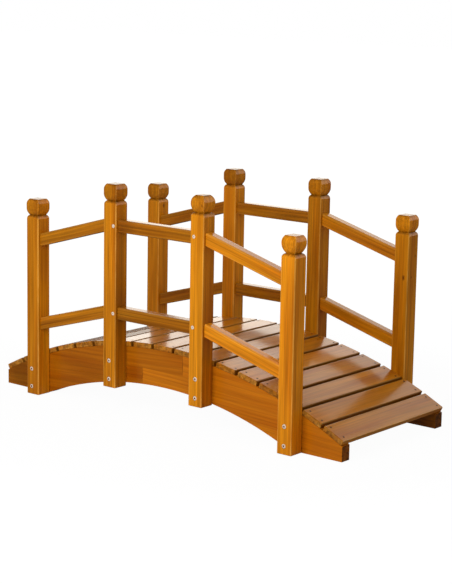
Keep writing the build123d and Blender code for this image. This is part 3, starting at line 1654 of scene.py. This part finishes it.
@dataclass(frozen=True)
class Studio:
    """A white studio: pale floor, white surroundings and a soft lamp."""

    floor_size: float = 40.0
    floor_drop: float = 0.0004
    floor_colour: Colour = (0.55, 0.55, 0.55)
    floor_white: float = 1.04
    floor_gloss: float = 0.04
    shadow_share: float = 0.07
    shadow_reach: Pair = (0.8, 1.9)
    daylight: float = 0.43
    warm: Colour = (1.0, 0.93, 0.82)
    front_gloss: float = 0.04
    low_gloss: float = 1.6
    high_gloss: float = 0.30
    gloss_heights: Pair = (0.30, 0.74)
    gloss_depths: Pair = (-0.2, 0.35)
    gloss_ray_depth: float = 2.5
    key_place: Triple = (0.15, -2.1, 1.25)
    key_aim: Triple = (0.05, 0.0, 0.25)
    key_size: float = 1.1
    key_power: float = 24.0

    def floor(self) -> None:
        """Lay the floor, which looks white to the camera and keeps the bridge's shadow."""
        half = self.floor_size / 2
        corners = [(-half, -half), (half, -half), (half, half), (-half, half)]
        data = bpy.data.meshes.new("floor")
        data.from_pydata([(x, y, -self.floor_drop) for x, y in corners], [], [(0, 1, 2, 3)])
        floor = bpy.data.objects.new("floor", data)
        bpy.context.collection.objects.link(floor)
        material, sheet = new_material("pale_floor")
        rays = sheet.add("ShaderNodeLightPath").outputs
        far = sheet.length(sheet.add("ShaderNodeTexCoord").outputs["Object"])
        fade = sheet.span(far, self.shadow_reach, 1.0 - self.shadow_share, 1.0)
        seen = sheet.maths("MULTIPLY", rays["Is Camera Ray"], fade)
        mix = sheet.add("ShaderNodeBsdfDiffuse", {"Color": (*self.floor_colour, 1.0)}).outputs[0]
        for share, strength in ((seen, self.floor_white), (rays["Is Glossy Ray"], self.floor_gloss)):
            glow = sheet.add("ShaderNodeEmission", {"Color": WHITE, "Strength": strength}).outputs[0]
            mix = sheet.add("ShaderNodeMixShader", {0: share, 1: mix, 2: glow}).outputs[0]
        sheet.add("ShaderNodeOutputMaterial", {"Surface": mix})
        data.materials.append(material)

    def world(self) -> None:
        """Make the surroundings white to the camera, and softer as a source of light."""
        world = bpy.data.worlds.new("studio")
        bpy.context.scene.world = world
        world.use_nodes = True
        sheet = NodeSheet(world.node_tree)
        rays = sheet.add("ShaderNodeLightPath").outputs
        towards = sheet.add("ShaderNodeTexCoord").outputs["Generated"]
        parts = sheet.add("ShaderNodeSeparateXYZ", {0: towards}).outputs
        gloss = sheet.span(parts["Z"], self.gloss_heights, self.low_gloss, self.high_gloss)
        gloss = sheet.span(parts["Y"], self.gloss_depths, self.front_gloss, gloss)
        first = sheet.maths("LESS_THAN", rays["Ray Depth"], self.gloss_ray_depth)
        gloss = sheet.maths("MULTIPLY", gloss, first)
        power = sheet.maths("MULTIPLY_ADD", rays["Is Camera Ray"], 1.0 - self.daylight, self.daylight)
        extra = sheet.maths("SUBTRACT", gloss, self.daylight)
        power = sheet.maths("MULTIPLY_ADD", rays["Is Glossy Ray"], extra, power)
        tint = sheet.blend(rays["Is Glossy Ray"], WHITE[:3], self.warm)
        light = sheet.add("ShaderNodeBackground", {"Color": tint, "Strength": power})
        sheet.add("ShaderNodeOutputWorld", {"Surface": light.outputs[0]})

    def lamp(self) -> None:
        """Hang the soft key lamp in front of the near side."""
        data = bpy.data.lights.new("key", "AREA")
        data.size = self.key_size
        data.energy = self.key_power
        lamp = bpy.data.objects.new("key", data)
        bpy.context.collection.objects.link(lamp)
        lamp.visible_glossy = False
        aim = Vector(self.key_aim) - Vector(self.key_place)
        lamp.location = self.key_place
        lamp.rotation_euler = aim.to_track_quat("-Z", "Y").to_euler()

    def build(self) -> None:
        """Set up floor, surroundings, lamp and colour management."""
        self.floor()
        self.world()
        self.lamp()
        bpy.context.scene.view_settings.view_transform = "Standard"


POST_MARKS = (
    Knot((-0.4465, 0.2610, 0.5128), (0.005, 0.006, 0.009), 0.75),
    Knot((0.4790, 0.2380, 0.4047), (0.0050, 0.004, 0.010)),
    Knot((0.4935, 0.2560, 0.4057), (0.003, 0.0035, 0.005), 0.6),
    Knot((0.4935, 0.2720, 0.4650), (0.003, 0.004, 0.006), 0.6),
    Knot((-0.1765, -0.2850, 0.1650), (0.0022, 0.003, 0.040)),
    Knot((0.1767, -0.2850, 0.6280), (0.0030, 0.010, 0.005), 0.6),
    # Painted shade on the lower parts of the X-facing sides of the second and third near posts.
    Cloud((-0.1370, -0.2615, 0.2700), (0.006, 0.030, 0.200)),
    Cloud((0.1840, -0.2615, 0.2800), (0.006, 0.030, 0.200), colour=(0.72, 0.62, 0.50)),
)
BEAM_MARKS = (
    Knot((-0.0750, -0.2385, 0.1130), (0.0013, 0.020, 0.028), 0.9, (0.16, 0.035, 0.0020)),
    Knot((0.0750, -0.2385, 0.1650), (0.0013, 0.020, 0.032), 0.9, (0.16, 0.035, 0.0020)),
    # Painted shade on the left end of the near beam.
    Cloud((-0.5700, -0.2385, 0.0500), (0.070, 0.030, 0.090), colour=(0.62, 0.66, 0.50)),
    Cloud((-0.1100, -0.2385, 0.1200), (0.030, 0.020, 0.030), colour=(0.82, 0.66, 0.50)),
    Cloud((-0.3200, -0.2385, 0.1000), (0.120, 0.030, 0.120), colour=(0.86, 0.80, 0.60)),
    # Painted shade on the right end of the far beam, under the deck.
    Cloud((0.5800, 0.2200, 0.0400), (0.120, 0.060, 0.100), colour=(0.55, 0.52, 0.50)),
)
RAIL_MARKS = (Cloud((-0.1250, -0.2615, 0.5250), (0.045, 0.040, 0.040), colour=(0.65, 0.55, 0.40)),)


def main() -> None:
    """Dress the bridge, then set up the studio and the camera."""
    logging.basicConfig(level=logging.INFO, format="%(name)s: %(message)s")
    post_wood = WoodFinish("post_varnish", varnish=0.60, marks=POST_MARKS).material()
    rail_wood = WoodFinish(
        "rail_varnish",
        ring_gap=0.0045,
        ring_strength=0.40,
        streak_strength=0.34,
        varnish=1.0,
        marks=RAIL_MARKS,
    ).material()
    beam_wood = WoodFinish(
        "beam_varnish",
        pale=(0.70, 0.215, 0.0050),
        deep=(0.42, 0.098, 0.0015),
        shade=(0.50, 0.120, 0.0010),
        ring_gap=0.0090,
        ring_strength=0.36,
        streak_strength=0.16,
        fibre_strength=0.12,
        marks=BEAM_MARKS,
    ).material()
    board_wood = WoodFinish(
        "board_varnish",
        pale=(0.72, 0.265, 0.0160),
        deep=(0.40, 0.115, 0.0040),
        ring_gap=0.0055,
        ring_strength=0.26,
        streak_strength=0.14,
        fibre_strength=0.12,
        end_strength=0.6,
        end_shade=0.12,
        blotch_strength=0.45,
        patch_strength=0.80,
        varnish=1.0,
        varnish_roughness=0.14,
    ).material()
    plated = MetalFinish("plated_steel", (1.0, 0.84, 0.70), 0.50, 0.0).material()
    # The nail heads are near black, painting the shade of their countersunk holes over the nails
    # themselves.
    dark = MetalFinish("dark_nail", (0.05, 0.04, 0.035), 0.5, 1.0).material()
    fixings = Fixings()
    deck = Deck()
    posts = Posts(fixings)
    SideBeams(deck).build(beam_wood)
    deck.build(board_wood)
    posts.build(post_wood)
    Rails().build(rail_wood)
    Fastenings(fixings, posts, deck).build(plated, dark)
    Studio().build()
    PhotoCamera().build()


if __name__ == "__main__":
    main()
